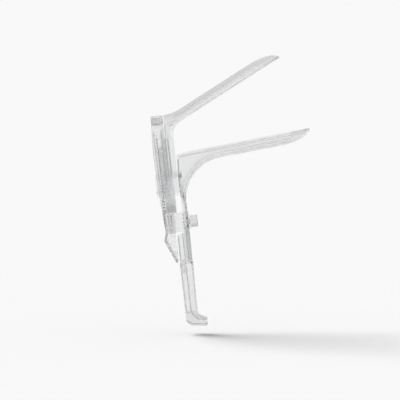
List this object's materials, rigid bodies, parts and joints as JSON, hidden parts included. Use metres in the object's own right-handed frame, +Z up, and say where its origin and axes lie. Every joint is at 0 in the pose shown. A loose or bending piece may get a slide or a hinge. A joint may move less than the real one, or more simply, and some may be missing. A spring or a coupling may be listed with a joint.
{
  "type": "bivalve speculum",
  "caption": "Clear plastic bivalve speculum with a sliding yoke, hinged upper blade, thumb lever, ratchets and a front thumb-screw lock.",
  "frame": {"origin": "on the middle plane of the handle, beside the upper face of the foot, 9 mm under the lower end of the straight grip", "axes": "+X from the handle towards the blade tips, +Y to the left, +Z up the handle"},
  "size_m": [0.1357, 0.0506, 0.2244],
  "materials": {
    "lower_blade": "gloss",
    "handle_grip": "gloss",
    "grip_pin": "gloss",
    "lock_bush": "gloss",
    "lock_knob": "gloss",
    "clamp_shoe": "gloss",
    "yoke_frame": "gloss",
    "yoke_cap": "gloss",
    "upper_blade": "gloss",
    "thumb_lever": "gloss",
    "hinge_pin_left": "gloss",
    "hinge_pin_right": "gloss",
    "angle_pawl_left": "gloss",
    "angle_pawl_right": "gloss",
    "slide_latch_left": "gloss",
    "slide_latch_right": "gloss",
    "latch_pin_left": "gloss",
    "latch_pin_right": "gloss"
  },
  "bodies": {
    "handle": {"lower_blade": "lower_blade", "handle_grip": "handle_grip", "grip_pin": "grip_pin", "lock_bush": "lock_bush", "latch_pin_left": "latch_pin_left", "latch_pin_right": "latch_pin_right"},
    "yoke": {"yoke_frame": "yoke_frame", "yoke_cap": "yoke_cap", "hinge_pin_left": "hinge_pin_left", "hinge_pin_right": "hinge_pin_right"},
    "upper": {"upper_blade": "upper_blade", "thumb_lever": "thumb_lever"},
    "lock": {"lock_knob": "lock_knob"},
    "shoe": {"clamp_shoe": "clamp_shoe"},
    "pawl_left": {"angle_pawl_left": "angle_pawl_left"},
    "pawl_right": {"angle_pawl_right": "angle_pawl_right"},
    "latch_left": {"slide_latch_left": "slide_latch_left"},
    "latch_right": {"slide_latch_right": "slide_latch_right"}
  },
  "joints": [
    {"name": "yoke_slide", "type": "slide", "parent": "handle", "child": "yoke", "axis": [0, 0, 1], "range_m": [-0.0169, 0.002]},
    {"name": "upper_blade_hinge", "type": "hinge", "parent": "yoke", "child": "upper", "pos_m": [-0.0084, 0, 0.15], "axis": [0, -1, 0], "range_deg": [-21.7, 0]},
    {"name": "lock_knob_turn", "type": "hinge", "parent": "handle", "child": "lock", "pos_m": [0.0089, 0, 0.087], "axis": [1, 0, 0], "range_deg": [0, 225]},
    {"name": "clamp_shoe_slide", "type": "slide", "parent": "handle", "child": "shoe", "axis": [1, 0, 0], "range_m": [0, 0.0005]},
    {"name": "angle_pawl_left_hinge", "type": "hinge", "parent": "yoke", "child": "pawl_left", "pos_m": [-0.011, 0.0177, 0.1126], "axis": [0, 1, 0], "range_deg": [0, 12], "stiffness_Nm_per_rad": 0.002, "springref_deg": -20.05},
    {"name": "slide_latch_left_hinge", "type": "hinge", "parent": "handle", "child": "latch_left", "pos_m": [-0.013, 0.024, 0.1154], "axis": [-1, 0, 0], "range_deg": [0, 10], "stiffness_Nm_per_rad": 0.002, "springref_deg": -20.05},
    {"name": "angle_pawl_right_hinge", "type": "hinge", "parent": "yoke", "child": "pawl_right", "pos_m": [-0.011, -0.0177, 0.1126], "axis": [0, 1, 0], "range_deg": [0, 12], "stiffness_Nm_per_rad": 0.002, "springref_deg": -20.05},
    {"name": "slide_latch_right_hinge", "type": "hinge", "parent": "handle", "child": "latch_right", "pos_m": [-0.013, -0.024, 0.1154], "axis": [1, 0, 0], "range_deg": [0, 10], "stiffness_Nm_per_rad": 0.002, "springref_deg": -20.05}
  ],
  "couplings": [
    {"joint": "clamp_shoe_slide", "follows": "lock_knob_turn", "m_per_rad": 0.00012732}
  ]
}
